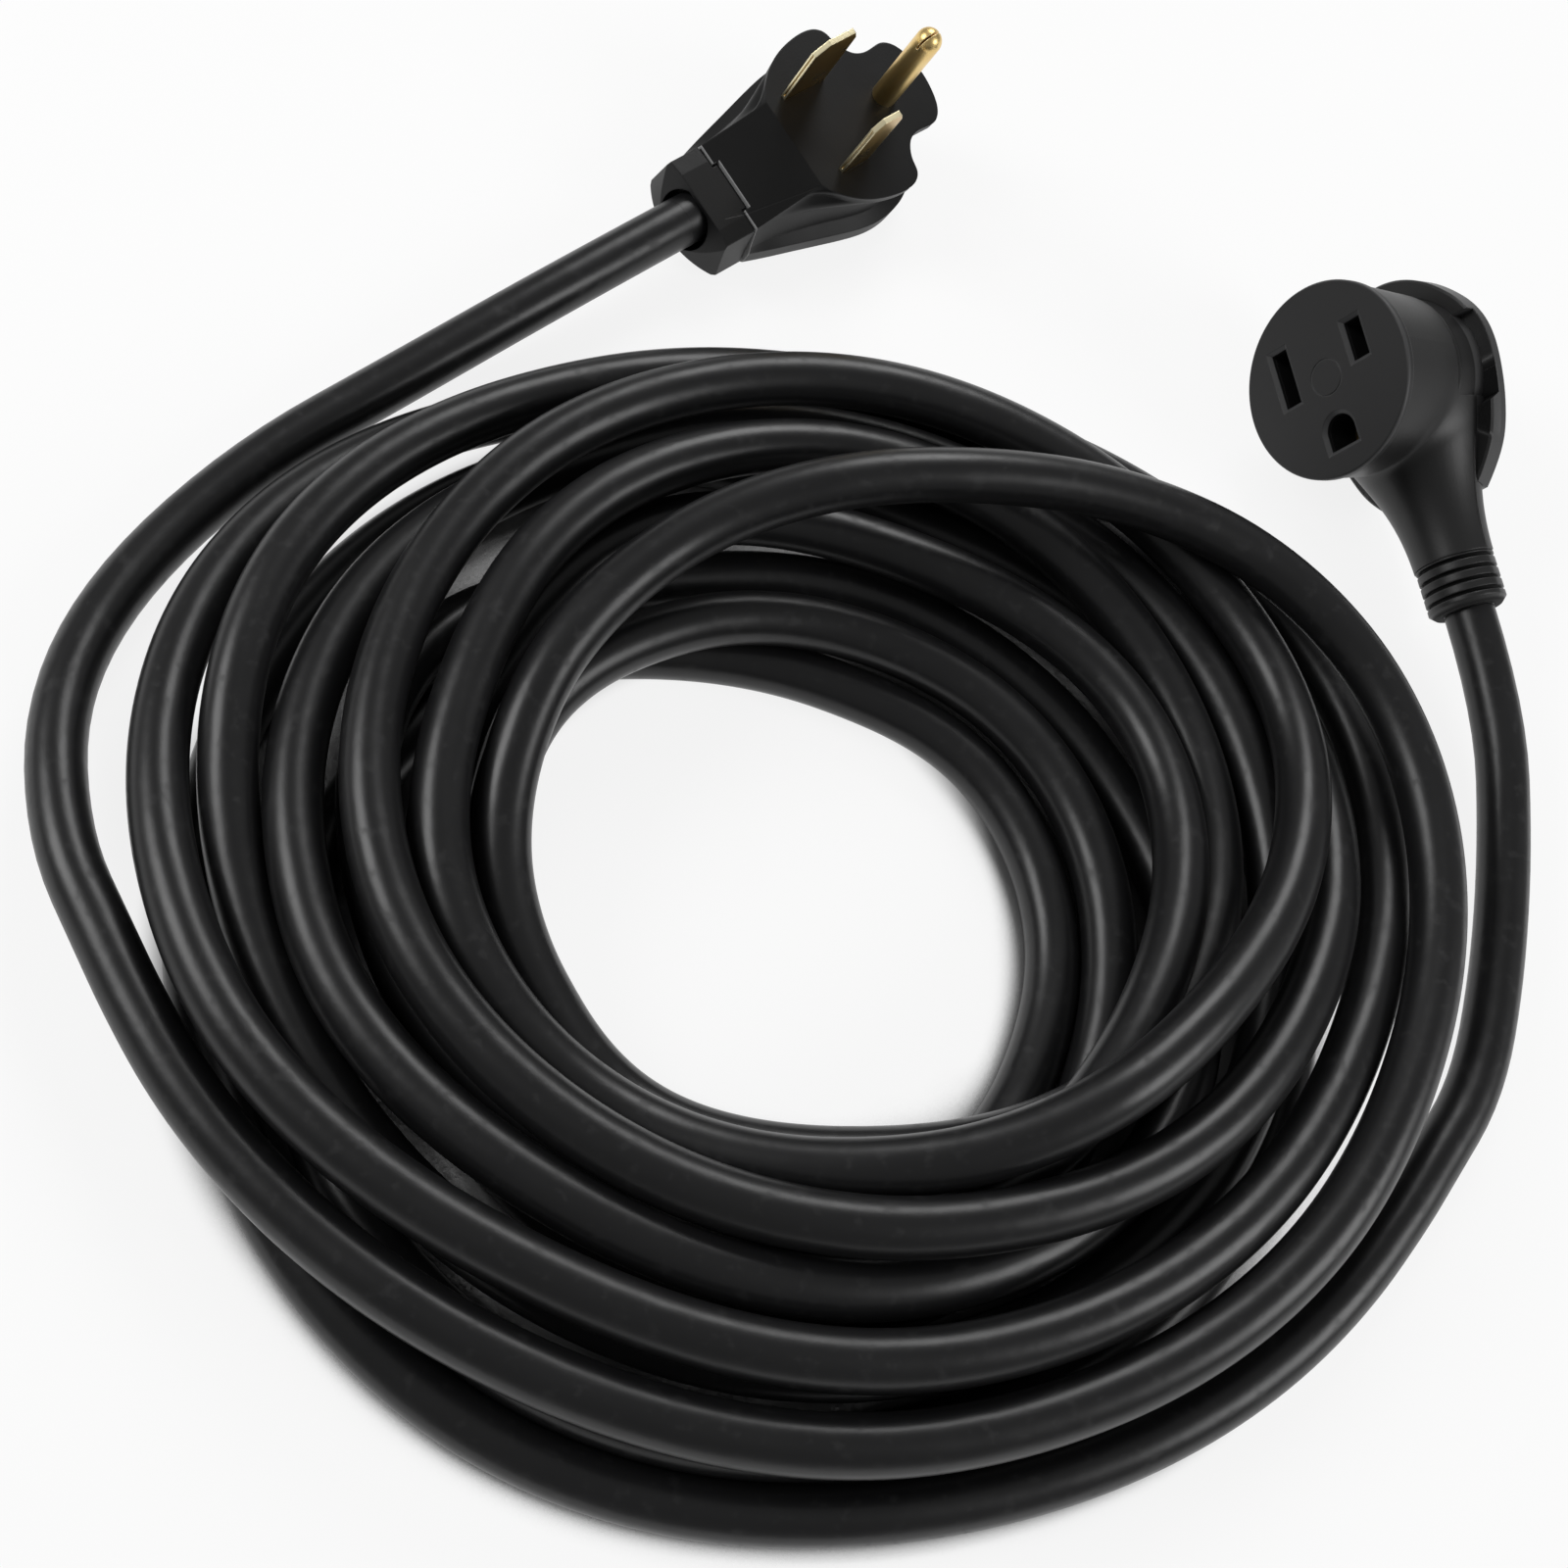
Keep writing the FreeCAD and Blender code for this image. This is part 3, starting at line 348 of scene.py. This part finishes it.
ELEVATION, ROLL = math.radians(62.76), math.radians(27.96)
FRAME, FOCAL = 1600.0, 2156.9            # pixels
DISTANCE, SENSOR = 583.5, 36.0           # mm
look = Vector((0.0, math.cos(ELEVATION), -math.sin(ELEVATION)))
right = Vector((math.cos(ROLL), math.sin(ROLL) * math.sin(ELEVATION), math.sin(ROLL) * math.cos(ELEVATION)))
up = Vector((-math.sin(ROLL), math.cos(ROLL) * math.sin(ELEVATION), math.cos(ROLL) * math.cos(ELEVATION)))
cam_data = bpy.data.cameras.new("camera")
cam_data.sensor_width = SENSOR
cam_data.lens = FOCAL * SENSOR / FRAME
cam_data.clip_start = 0.01
camera = bpy.data.objects.new("camera", cam_data)
bpy.context.collection.objects.link(camera)
eye = (-look * DISTANCE + SHIFT) * MM
camera.matrix_world = Matrix((
    (right.x, up.x, -look.x, eye.x),
    (right.y, up.y, -look.y, eye.y),
    (right.z, up.z, -look.z, eye.z),
    (0.0, 0.0, 0.0, 1.0)))
bpy.context.scene.camera = camera


# Plug moulding
# Flexible black PVC moulded over the contact block, with a ramp to the collar. It has a fine
# eroded grain, a parting line down the ramp and a thin slit beside the narrow blade.

SLIT_Y, SLIT_X, SLIT_HALF = -15.1, (-3.6, 3.4), 0.28             # the slit's place, ends and half its width
LINE_FROM, LINE_SLOPE, LINE_X = (-13.9, -14.9), -0.2537, (-43.5, -14.5)      # a point, the lean and the ends
LINE_Z = -10.2               # the line is only above this height
JOINT_X, JOINT_TAB, JOINT_STEP = -34.2, 8.3, 1.8     # where the collar meets the body, stepped beside its tab
PLUG_EDGE = 0.0006           # metres, the moulding's edge radius


def dress(material, *nodes):
    for name in nodes:
        data = bpy.data.objects[name].data
        data.materials.clear()
        data.materials.append(material)


def plug_moulding():
    """Satin black with marks in the plug's own frame, among them painted highlight and painted shade;
    each mark is a smooth step of a distance.
    """
    f = Finish("plug_moulding", (0.010, 0.010, 0.0105), Specular_IOR_Level=0.30)
    x, y, z = (f.along(PLUG_AT, a) for a in PLUG_AXES)
    # The slit is sunk as a bump and painted near black inside: painted shade.
    slit = (abs(y - SLIT_Y).between(SLIT_HALF * 0.6, SLIT_HALF, 1.0, 0.0)
            * x.between(SLIT_X[0], SLIT_X[0] + 0.3) * x.between(SLIT_X[1] - 0.3, SLIT_X[1], 1.0, 0.0)
            * z.between(-0.6, -0.1))
    line = (abs(y - (x - LINE_FROM[0]) * LINE_SLOPE - LINE_FROM[1]).between(0.15, 0.45, 1.0, 0.0)
            * x.between(LINE_X[0], LINE_X[0] + 1.0) * x.between(LINE_X[1] - 1.0, LINE_X[1], 1.0, 0.0)
            * z.between(LINE_Z - 0.4, LINE_Z + 0.4))
    # Painted highlight: a thin light band on the body just past its joint with the collar.
    past_joint = x - JOINT_X + abs(y).between(JOINT_TAB - 0.05, JOINT_TAB + 0.05) * JOINT_STEP
    joint_highlight = past_joint.between(-0.1, 0.0) * past_joint.between(0.22, 0.34, 1.0, 0.0)
    # Lighter edges: partly wear, partly painted highlight.
    edge = f.edge_band(PLUG_EDGE)
    f.give(f.shader, {"Roughness": 0.40 + f.noise(55.0, 3.0) * 0.14})
    light = (edge * 0.12 + joint_highlight + 0.025).between(0.0, 1.0) * (1.0 - slit)
    f.colour(light, (0.002, 0.002, 0.002), (0.32, 0.32, 0.32))
    height = f.noise(1500.0, 2.0) * 0.10 + (1.0 - slit) * 1.0 + (1.0 - line) * 0.35 + f.noise(55.0) * 0.4
    f.relief(height, 0.0003, 0.8, f.rounded(PLUG_EDGE))
    return f.material


dress(plug_moulding(), "plug_body", "plug_collar")


# Contact block
# Hard moulded block inside the plug that holds the blades and the pin; only its edges can show.

def hard_plastic(name, base, rough):
    """Fine matt thermoset: a tight grain, faint flow clouds and lighter edges, partly wear and partly
    painted highlight.
    """
    plain, paler = (base, base, base * 1.03), (base * 3.6, base * 3.6, base * 3.7)
    f = Finish(name, plain, Specular_IOR_Level=0.30)
    edge = f.edge_band(0.00035)
    f.give(f.shader, {"Roughness": rough + f.noise(90.0, 3.0) * 0.12})
    # Lighter edges: partly wear, partly painted highlight.
    f.colour(edge * 0.9, plain, paler)
    f.relief(f.noise(1300.0, 3.0) * 0.16 + f.noise(70.0) * 0.5, 0.0002, 0.6, f.rounded(0.00045))
    return f.material


dress(hard_plastic("hard_face", 0.013, 0.40), "plug_insert")


# Blades and ground pin
# Folded brass strip and a slit brass pin, with a painted highlight on the edges and on the blades'
# narrow sides and painted brown shade on their broad faces. Each runs down through the face into
# the contact block.

def brass(name, bright, brown, rough, across=None):
    """Painted highlight on edges and narrow sides, painted brown shade on the broad faces that look
    along `across`, and stains at random.
    """
    f = Finish(name, bright, Metallic=1.0)
    light = f.edge_band(0.0005)
    if across:
        light = light + abs(f.facing(across)).between(0.6, 0.95, 1.0, 0.0)
    stain = f.noise(110.0, 2.0).between(0.3, 0.7)
    # Painted highlight on edges and narrow sides, painted brown shade on broad faces; stains at random.
    f.colour((light + 0.3 * (1.0 - stain)).between(0.0, 1.0), brown, bright)
    f.give(f.shader, {"Roughness": rough + light.between(0.0, 1.0) * 0.10 + stain * 0.05})
    f.relief(f.noise(1400.0, 2.0) * 0.3 + f.noise(160.0) * 0.7, 0.00004, 0.35, f.rounded(0.0004))
    return f.material


dress(brass("gold_brass", (1.0, 0.90, 0.60), (0.55, 0.36, 0.11), 0.26, PLUG_AXES[1]),
      "wide_blade", "narrow_blade")
dress(brass("pin_brass", (1.0, 0.86, 0.50), (0.86, 0.62, 0.25), 0.34), "ground_pin")


# Conductors
# Three insulated conductors inside each moulding, hidden once the cord is made.

def insulation(name, colour):
    """Smooth drawn insulation with a slight bloom."""
    f = Finish(name, colour, Specular_IOR_Level=0.4)
    f.give(f.shader, {"Roughness": 0.3 + f.noise(150.0, 2.0) * 0.2})
    f.relief(f.noise(500.0, 2.0), 0.0001, 0.3)
    return f.material


dress(insulation("wire_black", (0.02, 0.02, 0.02)), "plug_line_wire", "connector_line_wire")
dress(insulation("wire_white", (0.75, 0.75, 0.72)), "plug_return_wire", "connector_return_wire")
dress(insulation("wire_green", (0.03, 0.28, 0.10)), "plug_ground_wire", "connector_ground_wire")
dress(JACKET, "plug_jacket_end", "connector_jacket_end")


# Connector face
# Hard round face in front of the moulding, with bevelled borders round its two slots and the
# U-shaped ground slot. The core behind it holds the contacts and a plate closes it.

def face_plastic():
    """The face's grain, with a lighter band of set width round each slot and lighter edges, partly
    wear and partly painted highlight.
    """
    plain, paler = (0.018, 0.018, 0.0185), (0.10, 0.10, 0.102)
    f = Finish("connector_face", plain, Specular_IOR_Level=0.40)
    edge = f.edge_band(0.0005)
    z = f.along(CONN_AT, CONN_AXES[2])
    border = z.between(-0.15, -0.05, 1.0, 0.0) * z.between(-1.15, -0.95)
    f.give(f.shader, {"Roughness": 0.40 + f.noise(90.0, 3.0) * 0.12})
    # Lighter edges, partly wear and partly painted highlight, and a lighter band round each slot.
    f.colour((edge * 0.5 + border * 0.45).between(0.0, 1.0), plain, paler)
    f.relief(f.noise(1300.0, 3.0) * 0.16 + f.noise(70.0) * 0.4, 0.0002, 0.6, f.rounded(0.0004))
    return f.material


dress(face_plastic(), "connector_face")
dress(hard_plastic("slot_walls", 0.006, 0.55), "connector_core", "connector_plate")
# The contacts' brass is painted dark: painted shade, for they sit deep in the slots.
dress(brass("contact_brass", (0.20, 0.14, 0.06), (0.10, 0.07, 0.03), 0.45),
      "long_contact", "short_contact", "ground_contact")


# Connector moulding
# Flexible black PVC: a bell behind the face, a neck that widens into it, a finger flange at the
# back and a ribbed sleeve round the cord. The mould's two halves leave a fine raised line.

# half the neck's width along it, for the mould line
NECK = [(-24.0, 19.9), (-30.0, 17.6), (-38.0, 14.8), (-45.0, 13.2), (-52.0, 12.3), (-57.6, 12.0)]
NECK_R, NECK_SLOPE, NECK_END = 28.8, 0.37, -58.0     # radius at the bell's axis and its change along the neck
BELL_R, BELL_SLOPE = 29.0, 0.061                     # radius at the face and its change behind it
BLEND = 4.0                  # how far from the seam the two surfaces' normals run together
SEAM_Y, SEAM_Z = (-34.0, -2.0), -41.0                # where the seam lies along the neck, and how far back
ARC_Y, ARC_X, ARC_Z = (-13.6, 14.1), 1.0, -27.2      # a faint arc on one side of the bell
LIP_Z, FLANGE_Z = -2.4, -36.0                        # behind the face's rim, and the flange's front
RIB_R, RIB_DEPTH = 11.6, 1.5
CONN_EDGE = 0.0006           # metres, the moulding's edge radius


def direction(f, amounts):
    """Sum of the connector's three axes, each times its amount, brought to length 1."""
    parts = [f.vector("SCALE", tuple(axis), Scale=amount) for axis, amount in zip(CONN_AXES, amounts)]
    return f.vector("NORMALIZE", f.vector("ADD", f.vector("ADD", parts[0], parts[1]), parts[2]))


def connector_moulding():
    """Satin black with painted highlights and painted shade. Where the neck runs into the bell, normals
    turn from one surface's to the other's.
    """
    f = Finish("connector_moulding", (0.010, 0.010, 0.0105), Specular_IOR_Level=0.45)
    x, y, z = (f.along(CONN_AT, a) for a in CONN_AXES)
    from_axis, from_neck = x.hypot(y), x.hypot(z - NECK_Z)
    past_bell = (from_neck - (y * NECK_SLOPE + NECK_R)) - (from_axis - (z * BELL_SLOPE + BELL_R))
    neck = direction(f, (x / from_neck, -NECK_SLOPE, (z - NECK_Z) / from_neck))
    bell = direction(f, (x / from_axis, y / from_axis, 0.0))
    turned = f.vector("NORMALIZE", f.mixed_normal(past_bell.between(-BLEND, BLEND), neck, bell))
    near_seam = (abs(past_bell).between(BLEND * 0.8, BLEND * 1.2, 1.0, 0.0)
                 * y.between(SEAM_Y[0], SEAM_Y[0] + 6.0) * y.between(SEAM_Y[1] - 6.0, SEAM_Y[1], 1.0, 0.0)
                 * z.between(SEAM_Z, SEAM_Z + 0.5) * from_axis.between(BELL_R - 4.0, BELL_R - 3.0))
    # The arc is sunk as a bump and painted dark: painted shade in the crease.
    arc = (abs(z - ARC_Z).between(0.20, 0.55, 1.0, 0.0) * y.between(ARC_Y[0], ARC_Y[0] + 4.6)
           * y.between(ARC_Y[1] - 4.1, ARC_Y[1], 1.0, 0.0) * x.between(ARC_X, ARC_X + 3.0)
           * from_axis.between(BELL_R - 3.0, BELL_R - 2.4))
    # Painted highlight: a light band on the wall just behind the face's rim.
    lip_highlight = z.between(LIP_Z - 0.6, LIP_Z - 0.4) * from_axis.between(BELL_R - 1.2, BELL_R - 0.9)
    # Painted highlight: surfaces behind the flange's front that face sideways are coloured lighter, as its
    # lit side.
    sideways = abs(f.facing(CONN_AXES[2])).between(0.3, 0.7, 1.0, 0.0)
    flange_highlight = z.between(FLANGE_Z - 0.2, FLANGE_Z, 1.0, 0.0) * sideways
    # Painted shade: the grooves between the sleeve's ribs are darkened in colour, and made rougher.
    groove = (from_neck.between(RIB_R - RIB_DEPTH + 0.2, RIB_R - RIB_DEPTH + 1.0, 1.0, 0.0)
              * y.between(NECK_END - 0.6, NECK_END, 1.0, 0.0))
    f.give(f.shader, {"Roughness": 0.36 + f.noise(55.0, 3.0) * 0.14 + groove * 0.4})
    # Lighter edges, partly wear and partly painted highlight, with the painted highlights and painted shade
    # above.
    light = (f.edge_band(0.0005) * 0.5 + lip_highlight * 0.9 + flange_highlight * 0.45 + 0.24).between(0.0, 1.0)
    f.colour(light * (1.0 - arc) * (1.0 - groove), (0.002, 0.002, 0.002), (0.06, 0.06, 0.061))
    height = f.noise(1500.0, 2.0) * 0.12 + f.noise(60.0) * 0.5 - arc
    f.relief(height, 0.0003, 0.7, f.mixed_normal(near_seam, f.rounded(CONN_EDGE), turned))
    return f.material


CONNECTOR_PVC = connector_moulding()
dress(CONNECTOR_PVC, "connector_body", "connector_flange", "connector_relief")


def mould_line(side, radius=0.32, sunk=0.12, steps=60, round_steps=8):
    """Fine bead along the neck's profile: point = profile + radius * (cos a * outwards + sin a * upwards)."""
    t = np.linspace(0.0, 1.0, steps)
    ys = np.interp(t, np.linspace(0, 1, len(NECK)), [p[0] for p in NECK])
    xs = np.interp(ys[::-1], [p[0] for p in reversed(NECK)], [p[1] for p in reversed(NECK)])[::-1]
    taper = np.sin(np.pi * np.clip(np.minimum(t, 1 - t) * 8, 0, 0.5))
    a = np.linspace(0.0, 2 * np.pi, round_steps, endpoint=False)
    X = side * (xs[:, None] - sunk + radius * taper[:, None] * np.cos(a))
    Y = np.repeat(ys[:, None], round_steps, 1)
    Z = NECK_Z + radius * taper[:, None] * np.sin(a)
    own = np.array([list(v) for v in CONN_AXES])
    pts = (np.stack([X, Y, Z], -1).reshape(-1, 3) @ own + np.array(CONN_AT + SHIFT)) * MM
    i, j = np.meshgrid(np.arange(steps - 1), np.arange(round_steps), indexing="ij")
    k = (j + 1) % round_steps
    this_ring, next_ring = i * round_steps, (i + 1) * round_steps
    quads = np.stack([this_ring + j, this_ring + k, next_ring + k, next_ring + j], -1)
    mesh = bpy.data.meshes.new("mould_line")
    mesh.from_pydata(pts.tolist(), [], quads.reshape(-1, 4).tolist())
    mesh.shade_smooth()
    mesh.materials.append(CONNECTOR_PVC)
    return mesh


for name, side in (("mould_line_right", 1), ("mould_line_left", -1)):
    bead = bpy.data.objects.new(name, mould_line(side))
    bpy.context.collection.objects.link(bead)
    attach(bead, "root")


# Floor and light
# A plain white floor, plain white to the camera and in reflections too, that keeps a faint shadow
# and carries painted shade between the coil's strands. An even light comes from all round, and three soft
# lamps.

FLOOR_HALF, FLOOR_Z = 6.0, -0.0002                   # metres
HOLE_AT, RING_AT = (0.0, -30.0), (22.0, -40.0)       # middles of the coil's hole and of its outline
HOLE_R, RING_R = (60.0, 75.0), (158.0, 170.0)        # where the strands begin and end, each from and to
PLAIN_SHARE = 0.85           # share of plain white in what the camera sees of the floor
AIM = (0.0, -0.1, 0.0)
LAMPS = {"left": ((-1.1, -0.4, 0.9), 8.0), "back": ((-0.3, 1.0, 1.0), 7.5), "right": ((1.2, -0.1, 0.8), 7.0)}
LAMP_ACROSS = 0.7

scene = bpy.context.scene
scene.view_settings.view_transform = "Standard"
room = bpy.data.worlds.new("room")
scene.world = room
room.use_nodes = True
room.node_tree.nodes["Background"].inputs["Color"].default_value = (1, 1, 1, 1)
room.node_tree.nodes["Background"].inputs["Strength"].default_value = 0.22

floor_mesh = bpy.data.meshes.new("floor")
corners = [(-1, -1), (1, -1), (1, 1), (-1, 1)]
floor_mesh.from_pydata([(FLOOR_HALF * x, FLOOR_HALF * y, FLOOR_Z) for x, y in corners], [], [(0, 1, 2, 3)])
floor = bpy.data.objects.new("floor", floor_mesh)
bpy.context.collection.objects.link(floor)
ground = Finish("floor", (0.96, 0.96, 0.96), Roughness=0.9, Specular_IOR_Level=0.0)


def reach(x, y):
    """Distance in mm over the floor from a point of the coil's frame."""
    at = Vector((x, y, 0.0))
    return ground.along(at, Vector((1, 0, 0))).hypot(ground.along(at, Vector((0, 1, 0))))


# Painted shade: within the coil's ring, the floor's plain white is dimmed where ambient occlusion finds it
# hemmed in by strands.
in_coil = reach(*HOLE_AT).between(*HOLE_R) * reach(*RING_AT).between(*RING_R, 1.0, 0.0)
sky = ground.node("ShaderNodeAmbientOcclusion", {"samples": 16}, {"Distance": 0.03})
shadow = in_coil * Number(ground, sky.outputs["AO"]).between(0.4, 0.7, 1.0, 0.0)
shaded_white = ground.node("ShaderNodeEmission", None, {"Color": (1, 1, 1, 1), "Strength": 1.0 - shadow})
ray = ground.node("ShaderNodeLightPath").outputs
seen = Number(ground, ray["Is Camera Ray"])
for other in ("Is Glossy Ray", "Is Transmission Ray"):
    seen = seen.math("MAXIMUM", Number(ground, ray[other]))
mix = ground.node("ShaderNodeMixShader", None,
                  {0: seen * PLAIN_SHARE, 1: ground.shader.outputs[0], 2: shaded_white.outputs[0]})
ground.give(ground.tree.nodes["Material Output"], {"Surface": mix.outputs[0]})
floor_mesh.materials.append(ground.material)

for name, (at, power) in LAMPS.items():
    data = bpy.data.lights.new(name, "AREA")
    data.shape = "DISK"
    data.size = LAMP_ACROSS
    data.energy = power
    lamp = bpy.data.objects.new(name, data)
    bpy.context.collection.objects.link(lamp)
    lamp.location = at
    lamp.rotation_euler = (Vector(AIM) - Vector(at)).to_track_quat("-Z", "Y").to_euler()
